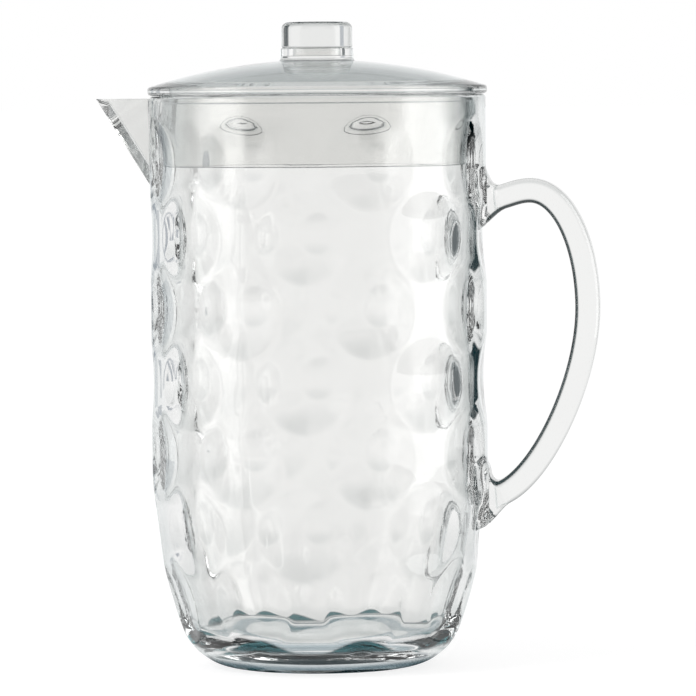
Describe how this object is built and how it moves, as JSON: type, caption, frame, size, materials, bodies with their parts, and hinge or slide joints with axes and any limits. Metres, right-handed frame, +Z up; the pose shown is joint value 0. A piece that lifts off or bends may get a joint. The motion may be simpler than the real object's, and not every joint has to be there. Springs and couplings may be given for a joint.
{
  "type": "plastic pitcher",
  "caption": "Clear plastic pitcher with a dimpled cylindrical wall, V spout, bowed strap handle and domed lift-off lid with a round knob.",
  "frame": {"origin": "centre of the flat underside of the base, on the axis of the jug", "axes": "+Z up along the axis of the jug, +X towards the handle, -X towards the spout"},
  "size_m": [0.1938, 0.1306, 0.248],
  "materials": {
    "jug_clear": "polished clear plastic",
    "spout_clear": "polished clear plastic",
    "handle_clear": "polished clear plastic",
    "lid_clear": "polished clear plastic",
    "knob_clear": "polished clear plastic"
  },
  "bodies": {
    "jug": {"pitcher_body": "jug_clear", "spout": "spout_clear", "handle": "handle_clear"},
    "cover": {"lid": "lid_clear", "knob": "knob_clear"}
  },
  "joints": [
    {"name": "lid_lift", "type": "slide", "parent": "jug", "child": "cover", "axis": [0, 0, 1], "range_m": [0, 0.12]}
  ]
}
